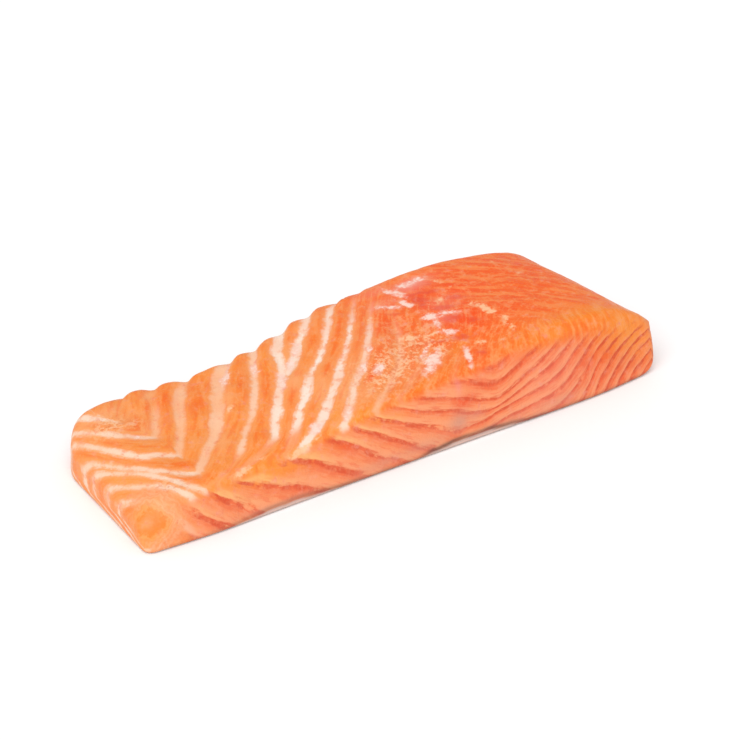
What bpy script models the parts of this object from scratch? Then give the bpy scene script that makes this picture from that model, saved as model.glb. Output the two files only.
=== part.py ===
"""Raw salmon fillet: one portion cut across a side of salmon, as one closed body.

X runs along the portion, from the thin belly end (-X) to the thick back of the fish (+X).
Y runs across it, between the two cut faces, and Z is up. The portion lies on its flat
underside, with the origin under the middle of its box.

The body is a box-shaped lattice bent to the fillet's form: its plan has rounded corners,
its top is crowned between a front and a back edge, its two cut faces lean in, its thin end
is cut straight and its thick end is rounded over like the back of a fish. The flakes of
muscle swell a little between the seams of fat, and scallop the back edge.
"""

import bmesh
import bpy
import numpy as np

MM = 0.001

# Stations along the portion, and what the body measures at each of them, in millimetres.
STATIONS = (-87.0, -80.0, -66.0, -45.0, -22.0, 0.0, 20.0, 45.0, 65.0, 87.0)
FRONT_FOOT = (-24.2, -24.8, -25.8, -25.9, -26.2, -26.6, -27.0, -27.8, -28.0, -26.2)
FRONT_EDGE = (-20.0, -20.6, -21.4, -21.6, -21.8, -22.0, -22.4, -22.8, -22.8, -20.5)
BACK_EDGE = (23.8, 28.6, 29.8, 25.0, 26.4, 30.0, 30.0, 28.8, 24.0, 16.5)
FRONT_HEIGHT = (9.0, 13.4, 14.6, 15.4, 18.6, 20.6, 21.4, 25.2, 24.6, 18.3)
BACK_HEIGHT = (11.0, 14.0, 16.0, 18.3, 20.2, 23.3, 24.4, 25.6, 24.6, 20.0)
CROWN = (0.5, 0.8, 1.0, 1.0, 1.0, 1.0, 0.8, 0.8, 0.8, 0.3)
BACK_LEAN = 1.5
FRONT_LEAN_CURVE = 1.6

# Plan of the portion: its straight thin end and its slanting thick end.
THIN_END = -87.3
THICK_END_FRONT = 89.5
THICK_END_BACK = 74.8
THICK_END_SLANT = 0.8
PLAN_LENGTH = 173.2
PLAN_WIDTH = 50.0
CORNERS = {"thin_front": 3.0, "thin_back": 8.0, "thick_front": 6.0, "thick_back": 5.0}

# Roundings: the top edge, the edge at the underside, and the fish's back at the thick end.
TOP_EDGE_RADIUS = 3.0
TOP_EDGE_SHARE = 0.3
FOOT_RADIUS = 1.2
NOSE_TOP_REACH = 12.0
NOSE_FOOT_REACH = 9.0
NOSE_HEIGHT = 12.0
NOSE_BLUNTNESS = 0.995

# Seams of fat between the flakes: where each crosses the front edge, two lines along the
# top, and the back edge, and how far it runs on along X for each millimetre down a cut face.
SEAM_LINES = (-22.0, 0.0, 14.0, 28.0)
SEAMS = (
    (-95.0, -82.0, -75.0, -70.0),
    (-82.0, -69.0, -63.2, -57.0),
    (-73.5, -61.5, -53.0, -40.0),
    (-68.0, -49.5, -39.7, -28.5),
    (-57.0, -36.8, -27.3, -12.5),
    (-42.0, -29.0, -13.7, -3.0),
    (-30.5, -18.8, -4.6, 6.0),
    (-25.5, -8.2, 2.5, 14.0),
    (-19.0, 0.5, 10.0, 22.0),
    (-10.5, 8.8, 18.0, 30.0),
    (-2.5, 16.0, 26.0, 38.0),
    (6.0, 24.0, 34.0, 46.0),
)
SEAM_RUN = 1.4
TOP_SWELL = 0.7
BACK_SWELL = 1.0
GROOVE_SHARPNESS = 4
FLAKES_FROM = -72.0
FLAKES_TO = 14.0
FLAKE_FADE = 10.0
BACK_SWELL_FROM = 0.8

# How finely the lattice is divided.
STEPS_ALONG = 74
STEPS_ACROSS = 14
STEPS_UP = 6
ARC_STEPS = 6
SMALLEST_SPAN = 1e-9
FLAT_TOLERANCE = 1e-7
FLAT_ANGLE = 1e-4

FLESH_COLOUR = (0.89, 0.26, 0.10, 1.0)
FLESH_ROUGHNESS = 0.35


def along(x, values, marks=STATIONS):
    """Smooth curve through values given at marks: cubic Hermite, slopes from neighbours."""
    marks = np.asarray(marks)
    values = np.asarray(values)
    slopes = np.gradient(values, marks)
    i = np.clip(np.searchsorted(marks, x) - 1, 0, len(marks) - 2)
    gap = marks[i + 1] - marks[i]
    t = np.clip((x - marks[i]) / gap, 0.0, 1.0)
    return (
        (2 * t**3 - 3 * t**2 + 1) * values[i]
        + (t**3 - 2 * t**2 + t) * gap * slopes[i]
        + (3 * t**2 - 2 * t**3) * values[i + 1]
        + (t**3 - t**2) * gap * slopes[i + 1]
    )


def ramp(x, start, end):
    """0 at start, 1 at end, with a soft beginning and finish."""
    t = np.clip((x - start) / (end - start), 0.0, 1.0)
    return t * t * (3 - 2 * t)


def edge_drop(distance, radius):
    """How far a rounded edge has fallen away at a distance inside the outline."""
    reach = np.clip(1 - distance / radius, 0.0, 1.0)
    return radius * (1 - np.sqrt(1 - reach * reach))


def divisions(length, first_arc, last_arc, steps):
    """Positions from 0 to length, crowded towards both ends as on a quarter circle."""
    quarter = 1 - np.cos(np.linspace(0.0, np.pi / 2, ARC_STEPS + 1))
    middle = np.linspace(first_arc, length - last_arc, steps + 1)[1:-1]
    return np.concatenate([first_arc * quarter, middle, length - last_arc * quarter[::-1]])


def round_corners(u, v):
    """Push the lattice's square plan corners in to arcs; also the way in from the outline."""
    distance = np.minimum(u, np.minimum(v, PLAN_WIDTH - v))
    corners = (
        (0.0, 0.0, CORNERS["thin_front"], True),
        (0.0, PLAN_WIDTH, CORNERS["thin_back"], True),
        (PLAN_LENGTH, 0.0, CORNERS["thick_front"], False),
        (PLAN_LENGTH, PLAN_WIDTH, CORNERS["thick_back"], False),
    )
    for corner_u, corner_v, radius, thin in corners:
        from_u = np.abs(u - corner_u)
        from_v = np.abs(v - corner_v)
        inside = (from_u < radius) & (from_v < radius)
        a = np.clip(radius - from_u, 0.0, None)
        b = np.clip(radius - from_v, 0.0, None)
        pull = np.maximum(a, b) / np.maximum(np.hypot(a, b), SMALLEST_SPAN)
        inward_u = np.sign(PLAN_LENGTH / 2 - corner_u)
        inward_v = np.sign(PLAN_WIDTH / 2 - corner_v)
        u = np.where(inside, corner_u + inward_u * (radius - a * pull), u)
        v = np.where(inside, corner_v + inward_v * (radius - b * pull), v)
        if thin:
            distance = np.where(inside, radius - np.maximum(a, b), distance)
    return u, v, distance


def seam_groove(x, y, drop):
    """1 in a seam of fat and 0 in the middle of a flake, drop millimetres below the top."""
    middle = np.clip(y, SEAM_LINES[0], SEAM_LINES[-1])
    lines = [along(middle, seam, SEAM_LINES) + SEAM_RUN * drop for seam in SEAMS]
    flakes = sum(np.clip((x - a) / (b - a), 0.0, 1.0) for a, b in zip(lines, lines[1:]))
    fade_in = ramp(x, FLAKES_FROM, FLAKES_FROM + FLAKE_FADE)
    fade_out = 1 - ramp(x, FLAKES_TO - FLAKE_FADE, FLAKES_TO)
    return fade_in * fade_out * np.cos(np.pi * flakes) ** GROOVE_SHARPNESS


def body_points(u, v, h):
    """Bend lattice points to the fillet: u along, v across, h up from the underside (0 to 1)."""
    u, v, distance = round_corners(u, v)
    across = v / PLAN_WIDTH
    thick_end = THICK_END_FRONT + (THICK_END_BACK - THICK_END_FRONT) * across**THICK_END_SLANT
    x = THIN_END + (thick_end - THIN_END) * u / PLAN_LENGTH

    front_height = along(x, FRONT_HEIGHT)
    crown = along(x, CROWN) * 4 * across * (1 - across)
    height = front_height * (1 - across) + along(x, BACK_HEIGHT) * across + crown
    top = height - edge_drop(distance, np.minimum(TOP_EDGE_RADIUS, TOP_EDGE_SHARE * height))
    foot = edge_drop(distance, FOOT_RADIUS)
    from_end = PLAN_LENGTH - u
    for_top = NOSE_BLUNTNESS * np.clip(1 - from_end / NOSE_TOP_REACH, 0.0, 1.0)
    for_foot = NOSE_BLUNTNESS * np.clip(1 - from_end / NOSE_FOOT_REACH, 0.0, 1.0)
    top = NOSE_HEIGHT + (top - NOSE_HEIGHT) * np.sqrt(1 - for_top**2)
    foot = NOSE_HEIGHT + (foot - NOSE_HEIGHT) * np.sqrt(1 - for_foot**2)
    z = foot + (top - foot) * h

    rise = np.clip(z / front_height, 0.0, 1.0)
    foot_line = along(x, FRONT_FOOT)
    front = foot_line + (along(x, FRONT_EDGE) - foot_line) * rise**FRONT_LEAN_CURVE
    back = along(x, BACK_EDGE) + BACK_LEAN * (1 - rise)
    y = front + (back - front) * across

    groove = seam_groove(x, y, height - z) * h
    z = z - TOP_SWELL * groove * ramp(distance, 0.0, TOP_EDGE_RADIUS)
    y = y - BACK_SWELL * groove * ramp(across, BACK_SWELL_FROM, 1.0)
    return np.stack([x, y, z], axis=-1)


def box_skin(nx, ny, nz):
    """Nodes and outward quads of the skin of an nx by ny by nz lattice, each node once."""
    quads = []

    def side(columns, rows, place, turned):
        """One side of the box: place gives the lattice node of a column and row."""
        i, j = np.meshgrid(np.arange(columns), np.arange(rows), indexing="ij")
        ring = [place(i, j), place(i + 1, j), place(i + 1, j + 1), place(i, j + 1)]
        if turned:
            ring.reverse()
        quads.append(np.stack([np.stack(node, axis=-1) for node in ring], axis=2))

    side(nx, ny, lambda i, j: (i, j, np.full_like(i, nz)), False)
    side(nx, ny, lambda i, j: (i, j, np.zeros_like(i)), True)
    side(nx, nz, lambda i, j: (i, np.zeros_like(i), j), False)
    side(nx, nz, lambda i, j: (i, np.full_like(i, ny), j), True)
    side(ny, nz, lambda i, j: (np.zeros_like(i), i, j), True)
    side(ny, nz, lambda i, j: (np.full_like(i, nx), i, j), False)
    nodes = np.concatenate([quad.reshape(-1, 3) for quad in quads])
    nodes, index = np.unique(nodes, axis=0, return_inverse=True)
    return nodes, index.reshape(-1, 4)


def fillet_mesh():
    """The fillet's points, in metres and centred over the origin, and its quads."""
    us = divisions(PLAN_LENGTH, CORNERS["thin_front"], NOSE_TOP_REACH, STEPS_ALONG)
    vs = divisions(PLAN_WIDTH, TOP_EDGE_RADIUS, TOP_EDGE_RADIUS, STEPS_ACROSS)
    hs = np.linspace(0.0, 1.0, STEPS_UP + 1)
    nodes, quads = box_skin(len(us) - 1, len(vs) - 1, len(hs) - 1)
    points = body_points(us[nodes[:, 0]], vs[nodes[:, 1]], hs[nodes[:, 2]])
    points[:, :2] -= (points[:, :2].min(axis=0) + points[:, :2].max(axis=0)) / 2
    return points * MM, quads


def flesh():
    """Raw salmon flesh: orange-pink, moist and half glossy."""
    material = bpy.data.materials.new("salmon_flesh")
    material.use_nodes = True
    shader = material.node_tree.nodes["Principled BSDF"]
    shader.inputs["Base Color"].default_value = FLESH_COLOUR
    shader.inputs["Roughness"].default_value = FLESH_ROUGHNESS
    shader.inputs["Metallic"].default_value = 0.0
    return material


def join_flat_faces(mesh):
    """Join the quads of the flat underside into one face."""
    bm = bmesh.new()
    bm.from_mesh(mesh)
    flat = [vert for vert in bm.verts if abs(vert.co.z) < FLAT_TOLERANCE]
    inner = [edge for edge in bm.edges if edge.verts[0] in flat and edge.verts[1] in flat]
    bmesh.ops.dissolve_limit(bm, angle_limit=FLAT_ANGLE, verts=flat, edges=inner)
    bm.to_mesh(mesh)
    bm.free()


def build_fillet():
    """The one piece: the fillet's closed skin, smooth shaded."""
    points, quads = fillet_mesh()
    mesh = bpy.data.meshes.new("fillet")
    mesh.from_pydata(points.tolist(), [], quads.tolist())
    join_flat_faces(mesh)
    mesh.shade_smooth()
    mesh.materials.append(flesh())
    fillet = bpy.data.objects.new("fillet", mesh)
    bpy.context.scene.collection.objects.link(fillet)


for leftover in list(bpy.data.objects):
    bpy.data.objects.remove(leftover, do_unlink=True)
build_fillet()
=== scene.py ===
import math

import bpy
import numpy as np
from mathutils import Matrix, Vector


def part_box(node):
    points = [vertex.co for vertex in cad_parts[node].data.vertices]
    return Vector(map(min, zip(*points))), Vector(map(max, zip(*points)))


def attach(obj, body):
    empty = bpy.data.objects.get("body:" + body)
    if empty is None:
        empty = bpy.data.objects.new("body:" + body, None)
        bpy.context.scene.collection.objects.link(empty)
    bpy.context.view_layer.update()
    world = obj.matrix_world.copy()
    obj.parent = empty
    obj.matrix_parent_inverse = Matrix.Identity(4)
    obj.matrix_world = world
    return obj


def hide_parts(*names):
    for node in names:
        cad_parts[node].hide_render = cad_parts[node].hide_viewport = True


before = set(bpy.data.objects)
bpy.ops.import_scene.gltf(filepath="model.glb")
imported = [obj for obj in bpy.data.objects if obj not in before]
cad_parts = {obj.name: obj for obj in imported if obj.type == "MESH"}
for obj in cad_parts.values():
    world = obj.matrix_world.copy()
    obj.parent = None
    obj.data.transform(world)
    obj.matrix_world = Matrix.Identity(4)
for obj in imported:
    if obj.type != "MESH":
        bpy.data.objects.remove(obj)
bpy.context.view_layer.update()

# A raw salmon fillet: one portion cut across a side of salmon.
#
# Lengths are in millimetres in the fillet's own measures: x along the portion from the thin
# belly end, y across it from the front cut face to the back one, z up from the underside.
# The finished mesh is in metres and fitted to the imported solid's box.
# "Girth" is the way round the portion: it is y on the top, and goes on down each cut face.

MM = 0.001

# ---------------------------------------------------------------- the fillet's form

STATIONS = (-87.0, -80.0, -66.0, -45.0, -22.0, 0.0, 20.0, 45.0, 65.0, 87.0)
FRONT_FOOT = (-24.2, -24.8, -25.8, -25.9, -26.2, -26.6, -27.0, -27.8, -28.0, -26.2)
FRONT_EDGE = (-20.0, -20.6, -21.4, -21.6, -21.8, -22.0, -22.4, -22.8, -22.8, -20.5)
BACK_EDGE = (23.8, 28.6, 29.8, 25.0, 26.4, 30.0, 30.0, 28.8, 24.0, 16.5)
FRONT_HEIGHT = (9.0, 13.4, 14.6, 15.4, 18.6, 20.6, 21.4, 25.2, 24.6, 18.3)
BACK_HEIGHT = (11.0, 14.0, 16.0, 18.3, 20.2, 23.3, 24.4, 25.6, 24.6, 20.0)
CROWN = (0.5, 0.8, 1.0, 1.0, 1.0, 1.0, 0.8, 0.8, 0.8, 0.3)
BACK_LEAN = 1.5
FRONT_LEAN_CURVE = 1.6

THIN_END = -87.3
THICK_END_FRONT = 89.5
THICK_END_BACK = 74.8
THICK_END_SLANT = 0.8
PLAN_LENGTH = 173.2
PLAN_WIDTH = 50.0
CORNERS = {"thin_front": 3.0, "thin_back": 8.0, "thick_front": 6.0, "thick_back": 5.0}

TOP_EDGE_RADIUS = 3.0
TOP_EDGE_SHARE = 0.3
FOOT_RADIUS = 1.2
NOSE_TOP_REACH = 12.0
NOSE_FOOT_REACH = 9.0
NOSE_HEIGHT = 12.0
NOSE_BLUNTNESS = 0.998

# The mesh: its cell size, and the cells up the cut faces.
CELL = 0.56
CELLS_UP = 36
SMALLEST_SPAN = 1e-9


def along(x, values, marks=STATIONS):
    """Smooth curve through values given at marks: cubic Hermite, slopes from neighbours."""
    marks = np.asarray(marks)
    values = np.asarray(values)
    slopes = np.gradient(values, marks)
    i = np.clip(np.searchsorted(marks, x) - 1, 0, len(marks) - 2)
    gap = marks[i + 1] - marks[i]
    t = np.clip((x - marks[i]) / gap, 0.0, 1.0)
    return (
        (2 * t**3 - 3 * t**2 + 1) * values[i]
        + (t**3 - 2 * t**2 + t) * gap * slopes[i]
        + (3 * t**2 - 2 * t**3) * values[i + 1]
        + (t**3 - t**2) * gap * slopes[i + 1]
    )


def ramp(x, start, end):
    """0 at start, 1 at end, with a soft beginning and finish."""
    t = np.clip((x - start) / (end - start), 0.0, 1.0)
    return t * t * (3 - 2 * t)


def edge_drop(distance, radius):
    """How far a rounded edge has fallen away at a distance inside the outline: a circle's arc."""
    reach = np.clip(1 - distance / radius, 0.0, 1.0)
    return radius * (1 - np.sqrt(1 - reach * reach))


def divisions(length, first_arc, last_arc):
    """Positions from 0 to length a cell apart, crowded at both ends as on a quarter circle."""

    def quarter(radius):
        cells = max(2, round(radius * math.pi / 2 / CELL))
        return radius * (1 - np.cos(np.linspace(0.0, math.pi / 2, cells + 1)))

    middle = length - first_arc - last_arc
    inner = np.linspace(first_arc, length - last_arc, round(middle / CELL) + 1)[1:-1]
    return np.concatenate([quarter(first_arc), inner, length - quarter(last_arc)[::-1]])


def round_corners(u, v):
    """Push the lattice's square plan corners in to arcs; also the way in from the outline."""
    distance = np.minimum(u, np.minimum(v, PLAN_WIDTH - v))
    corners = (
        (0.0, 0.0, CORNERS["thin_front"], True),
        (0.0, PLAN_WIDTH, CORNERS["thin_back"], True),
        (PLAN_LENGTH, 0.0, CORNERS["thick_front"], False),
        (PLAN_LENGTH, PLAN_WIDTH, CORNERS["thick_back"], False),
    )
    for corner_u, corner_v, radius, thin in corners:
        from_u = np.abs(u - corner_u)
        from_v = np.abs(v - corner_v)
        inside = (from_u < radius) & (from_v < radius)
        a = np.clip(radius - from_u, 0.0, None)
        b = np.clip(radius - from_v, 0.0, None)
        pull = np.maximum(a, b) / np.maximum(np.hypot(a, b), SMALLEST_SPAN)
        inward_u = np.sign(PLAN_LENGTH / 2 - corner_u)
        inward_v = np.sign(PLAN_WIDTH / 2 - corner_v)
        u = np.where(inside, corner_u + inward_u * (radius - a * pull), u)
        v = np.where(inside, corner_v + inward_v * (radius - b * pull), v)
        if thin:
            distance = np.where(inside, radius - np.maximum(a, b), distance)
    return u, v, distance


def body_points(u, v, h):
    """Bend lattice points to the fillet: u along, v across, h up from the underside (0 to 1).

    Gives x, y, z, the share of the way across, the height of the top above that place, and
    how far inside the outline of the plan the point is.
    """
    u, v, distance = round_corners(u, v)
    across = v / PLAN_WIDTH
    thick_end = THICK_END_FRONT + (THICK_END_BACK - THICK_END_FRONT) * across**THICK_END_SLANT
    x = THIN_END + (thick_end - THIN_END) * u / PLAN_LENGTH

    front_height = along(x, FRONT_HEIGHT)
    crown = along(x, CROWN) * 4 * across * (1 - across)
    height = front_height * (1 - across) + along(x, BACK_HEIGHT) * across + crown
    top = height - edge_drop(distance, np.minimum(TOP_EDGE_RADIUS, TOP_EDGE_SHARE * height))
    foot = edge_drop(distance, FOOT_RADIUS)
    from_end = PLAN_LENGTH - u
    for_top = NOSE_BLUNTNESS * np.clip(1 - from_end / NOSE_TOP_REACH, 0.0, 1.0)
    for_foot = NOSE_BLUNTNESS * np.clip(1 - from_end / NOSE_FOOT_REACH, 0.0, 1.0)
    top = NOSE_HEIGHT + (top - NOSE_HEIGHT) * np.sqrt(1 - for_top**2)
    foot = NOSE_HEIGHT + (foot - NOSE_HEIGHT) * np.sqrt(1 - for_foot**2)
    z = foot + (top - foot) * h

    rise = np.clip(z / front_height, 0.0, 1.0)
    foot_line = along(x, FRONT_FOOT)
    front = foot_line + (along(x, FRONT_EDGE) - foot_line) * rise**FRONT_LEAN_CURVE
    back = along(x, BACK_EDGE) + BACK_LEAN * (1 - rise)
    y = front + (back - front) * across
    return x, y, z, across, height, distance


def box_skin(nx, ny, nz):
    """Nodes and outward quads of the skin of an nx by ny by nz lattice, each node once."""
    quads = []

    def side(columns, rows, place, turned):
        """One side of the box: place gives the lattice node of a column and row."""
        i, j = np.meshgrid(np.arange(columns), np.arange(rows), indexing="ij")
        ring = [place(i, j), place(i + 1, j), place(i + 1, j + 1), place(i, j + 1)]
        if turned:
            ring.reverse()
        quads.append(np.stack([np.stack(node, axis=-1) for node in ring], axis=2))

    side(nx, ny, lambda i, j: (i, j, np.full_like(i, nz)), False)
    side(nx, ny, lambda i, j: (i, j, np.zeros_like(i)), True)
    side(nx, nz, lambda i, j: (i, np.zeros_like(i), j), False)
    side(nx, nz, lambda i, j: (i, np.full_like(i, ny), j), True)
    side(ny, nz, lambda i, j: (np.zeros_like(i), i, j), True)
    side(ny, nz, lambda i, j: (np.full_like(i, nx), i, j), False)
    nodes = np.concatenate([quad.reshape(-1, 3) for quad in quads])
    nodes, index = np.unique(nodes, axis=0, return_inverse=True)
    return nodes, index.reshape(-1, 4)


# ---------------------------------------------------------------- where the fat runs

# Seams across the top, right of the V: where each one is along x, at these places across.
TOP_ROWS = (-22.0, -16.0, -10.0, -4.0, 3.0, 10.0, 17.0, 24.0, 28.0)
TOP_SEAMS = (
    (-95.0, -92.0, -88.5, -85.0, -81.0, -77.0, -73.0, -69.0, -67.0),
    (-83.0, -79.8, -76.5, -73.3, -69.0, -64.6, -61.2, -58.5, -56.5),
    (-77.0, -73.0, -69.0, -64.9, -60.4, -57.0, -53.2, -48.0, -45.0),
    (-73.0, -66.2, -60.0, -53.8, -48.9, -44.6, -39.6, -33.6, -30.8),
    (-63.0, -53.4, -47.8, -42.0, -36.4, -32.2, -28.6, -25.0, -23.0),
    (-57.9, -42.2, -37.6, -33.0, -28.0, -22.8, -20.4, -15.8, -13.6),
    (-40.8, -34.5, -29.2, -23.4, -17.1, -9.2, -3.3, 1.8, 4.6),
    (-35.0, -25.5, -19.3, -12.9, -6.5, 0.0, 5.4, 10.2, 13.0),
    (-22.0, -16.0, -10.9, -4.8, 1.6, 7.2, 12.0, 17.5, 20.5),
    (-11.0, -4.0, 3.5, 8.5, 12.5, 16.0, 21.0, 27.0, 30.0),
    (-3.0, 5.0, 13.0, 18.0, 22.0, 26.0, 31.0, 36.0, 39.0),
    (6.0, 13.0, 21.0, 26.0, 30.0, 34.0, 39.0, 44.0, 47.0),
)
# Of each of those seams: the fat's half width in millimetres near the front and near the
# back, how white and how strong it is.
WIDTH_PLACES = (-12.0, 18.0)
FRONT_WIDTH = (0.8, 0.9, 1.0, 1.2, 0.8, 1.0, 1.1, 1.2, 1.0, 0.8, 0.7, 0.7)
BACK_WIDTH = (0.8, 1.1, 1.5, 2.0, 1.0, 1.3, 0.8, 0.6, 0.5, 0.6, 0.6, 0.6)
TOP_SEAM_WHITE = (0.1, 0.2, 0.25, 0.3, 0.5, 0.85, 0.95, 0.95, 0.8, 0.4, 0.3, 0.3)
TOP_SEAM_STRENGTH = (0.2, 0.55, 0.62, 0.72, 0.85, 1.0, 1.0, 1.0, 0.85, 0.4, 0.2, 0.1)
# One more seam branches off the sixth towards the back: where it lies along x at those same
# places across, and from where across it begins.
BRANCH = (-57.0, -41.5, -37.0, -32.0, -26.2, -19.4, -12.8, -6.4, -3.8)
BRANCH_FROM = (2.0, 8.0)
BRANCH_SLANT = 0.72

# Seams left of the V: where each one is across, at these places along x.
LEFT_ROWS = (-88.0, -86.0, -84.0, -80.0, -76.0, -72.0, -68.0, -64.0)
LEFT_SEAMS = (
    (42.0, 38.0, 34.0, 27.0, 21.5, 16.2, 13.0, 11.0),
    (31.0, 27.0, 23.0, 16.6, 11.2, 6.6, 4.8, 3.4),
    (24.5, 20.0, 15.4, 6.0, -1.0, -3.5, -5.6, -7.4),
    (13.0, 8.6, 4.2, -3.1, -8.6, -12.3, -14.7, -16.8),
    (7.0, 3.5, 0.3, -5.8, -11.8, -17.5, -22.0, -26.0),
    (-1.0, -3.6, -7.2, -12.5, -17.5, -23.0, -27.0, -31.0),
    (-7.5, -10.8, -14.0, -22.0, -28.0, -33.0, -37.0, -41.0),
)
# Their fat's half width in millimetres, how much less it is at the thin end and from where
# along x, and how white it is.
LEFT_WIDTH = 0.85
LEFT_NARROWING = 0.3
LEFT_NARROWS = (80.0, 86.0)
LEFT_WHITE = 0.55
# The point of the V: where it lies along x at these places across.
POINT_ROWS = (-30.0, -22.0, -15.7, -6.2, 4.8, 16.0, 30.0)
POINT = (-66.5, -66.2, -66.0, -66.4, -68.0, -72.6, -77.0)
POINT_SOFTNESS = 0.6
# Down the thin end's face each seam turns to the front: how far down it does so, at these
# places across, and how far it runs for each millimetre before and after.
END_PLACES = (-15.0, -8.0, -2.0, 8.0, 14.0)
END_TURNS = (4.0, 5.0, 6.4, 8.2, 7.4)
END_RUN = 0.15
END_TURN_RUN = 3.5

# Dark seams down the front cut face, left of the seam that parts it: where each one is along
# x, at these depths below the edge.
FACE_DEPTHS = (0.0, 3.0, 6.0, 9.0, 12.0, 16.0, 20.0)
FACE_SEAMS = (
    (-78.0, -74.0, -70.6, -66.8, -62.8, -57.0, -51.0),
    (-68.0, -64.0, -60.6, -56.8, -52.8, -47.0, -41.0),
    (-60.5, -55.0, -48.5, -41.0, -35.6, -29.0, -23.0),
    (-43.5, -38.6, -32.3, -28.3, -24.4, -18.4, -12.5),
    (-29.5, -25.0, -21.2, -17.7, -14.0, -7.5, -1.0),
    (-21.5, -18.0, -13.4, -9.0, -4.4, 1.5, 8.0),
    (-16.0, -11.2, -5.2, 0.5, 6.7, 15.0, 23.0),
    (-9.0, -3.0, 3.4, 13.0, 22.0, 34.0, 46.0),
    (-3.5, 5.0, 13.6, 22.0, 31.0, 43.0, 55.0),
    (10.0, 19.0, 25.0, 33.0, 41.0, 52.0, 64.0),
)
PARTING = 15.5
PARTING_WIDTH = 2.4
# Dark seams right of the parting one: where each one is down the girth, at these places
# along x.
RIGHT_COLUMNS = (14.0, 18.0, 22.0, 29.0, 36.0, 43.0, 50.0, 57.0, 64.0, 71.0, 78.0, 85.0)
RIGHT_SEAMS = (
    (-23.0, -24.5, -26.4, -29.3, -27.7, -25.4, -22.6, -18.5, -14.5, -10.5, -6.5, -2.5),
    (-27.9, -29.4, -31.2, -33.5, -32.2, -29.9, -26.4, -22.4, -18.4, -14.4, -10.4, -6.4),
    (-31.6, -33.2, -35.0, -35.8, -34.9, -33.2, -30.5, -26.2, -22.2, -18.2, -14.2, -10.2),
    (-37.0, -37.6, -37.8, -37.2, -37.6, -37.2, -35.0, -30.0, -25.4, -21.4, -17.4, -13.4),
    (-40.8, -41.2, -41.4, -40.6, -41.0, -41.2, -39.5, -34.2, -28.4, -24.2, -20.0, -16.0),
    (-45.0, -45.0, -45.0, -44.0, -44.6, -45.6, -44.5, -39.5, -31.8, -27.0, -22.6, -18.4),
    (-49.0, -49.0, -49.0, -48.0, -49.0, -50.5, -50.0, -46.0, -36.0, -29.8, -25.2, -20.8),
    (-53.0, -53.0, -53.0, -52.0, -53.0, -55.0, -55.5, -52.5, -41.5, -33.0, -27.8, -23.2),
    (-57.0, -57.0, -57.0, -56.0, -57.0, -60.0, -61.0, -59.0, -48.0, -37.5, -30.6, -25.6),
    (-61.0, -61.0, -61.0, -60.0, -61.0, -64.5, -66.5, -65.5, -54.5, -43.0, -34.0, -28.2),
    (-65.0, -65.0, -65.0, -64.0, -65.0, -69.0, -72.0, -72.0, -61.0, -49.5, -38.5, -31.2),
)
FIRST_RIGHT_SEAM = 9

# The middle of the rings at the front corner of the thin end.
RING_CENTRE = (-85.4, -21.9, 8.2)

# Girth where the front cut face begins, and millimetres of girth for each one down a cut face.
RIDGE = -22.0
WALL_ARC = 0.95
# How far the seams run on along x for each millimetre down the back face.
BACK_RUN = 1.45


def count_seams(place, seams, first=0):
    """Number of the seam at a place: whole on a seam, even between two, going on past the ends.

    place and every seam are arrays of the same shape, and seams grow in order.
    """
    count = np.minimum((place - seams[0]) / (seams[1] - seams[0]), 0.0)
    for low, high in zip(seams, seams[1:]):
        count = count + np.clip((place - low) / (high - low), 0.0, 1.0)
    past = (place - seams[-1]) / (seams[-1] - seams[-2])
    return first + count + np.maximum(past, 0.0)


def girth_of(x, y, z, across, height):
    """y on the top, and further down a cut face by the arc from its edge."""
    drop = np.maximum(height - z, 0.0)
    front = along(x, FRONT_EDGE)
    back = along(x, BACK_EDGE)
    on_front = 1 - ramp(across, 0.0, TOP_EDGE_RADIUS / PLAN_WIDTH)
    on_back = ramp(across, 1 - TOP_EDGE_RADIUS / PLAN_WIDTH, 1.0)
    return np.clip(y, front, back) + WALL_ARC * drop * (on_back - on_front)


def top_seam_number(x, girth, end_drop):
    """Seams of the top: the V's right arms along x, its left arms across, joined at its point."""
    row = np.clip(girth, TOP_ROWS[0], TOP_ROWS[-1])
    place = x - BACK_RUN * np.maximum(girth - TOP_ROWS[-1], 0.0)
    right = count_seams(place, [along(row, seam, TOP_ROWS) for seam in TOP_SEAMS])
    turn = np.maximum(end_drop - np.interp(girth, END_PLACES, END_TURNS), 0.0)
    lower = girth + END_RUN * end_drop + END_TURN_RUN * turn
    left = count_seams(-lower, [-along(x, seam, LEFT_ROWS) for seam in LEFT_SEAMS])
    point = along(np.clip(girth, POINT_ROWS[0], POINT_ROWS[-1]), POINT, POINT_ROWS)
    share = ramp(x, point - POINT_SOFTNESS, point + POINT_SOFTNESS)
    return left + (right - left) * share


def face_seam_number(x, girth):
    """Dark seams of the front cut face, joined where the parting seam runs down it."""
    depth = np.clip(RIDGE - girth, FACE_DEPTHS[0], FACE_DEPTHS[-1])
    left = count_seams(x, [along(depth, seam, FACE_DEPTHS) for seam in FACE_SEAMS])
    below = [-along(x, seam, RIGHT_COLUMNS) for seam in RIGHT_SEAMS]
    right = FIRST_RIGHT_SEAM - count_seams(-girth, below)
    return left + (right - left) * ramp(x, PARTING - PARTING_WIDTH, PARTING + PARTING_WIDTH)


# ---------------------------------------------------------------- the mesh

# Plane waves summed for one unevenness.
WAVES = 14
# The flakes swell between the top's seams, most along the back edge: the grooves' half width,
# their depths on the top and on the back face, and where they begin and end.
GROOVE_WIDTH = 2.1
TOP_SWELL = 0.7
BACK_SWELL = 1.9
BACK_SWELL_FROM = 0.82
SWELL_FROM = (-74.0, -62.0)
SWELL_TO = (8.0, 24.0)
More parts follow.
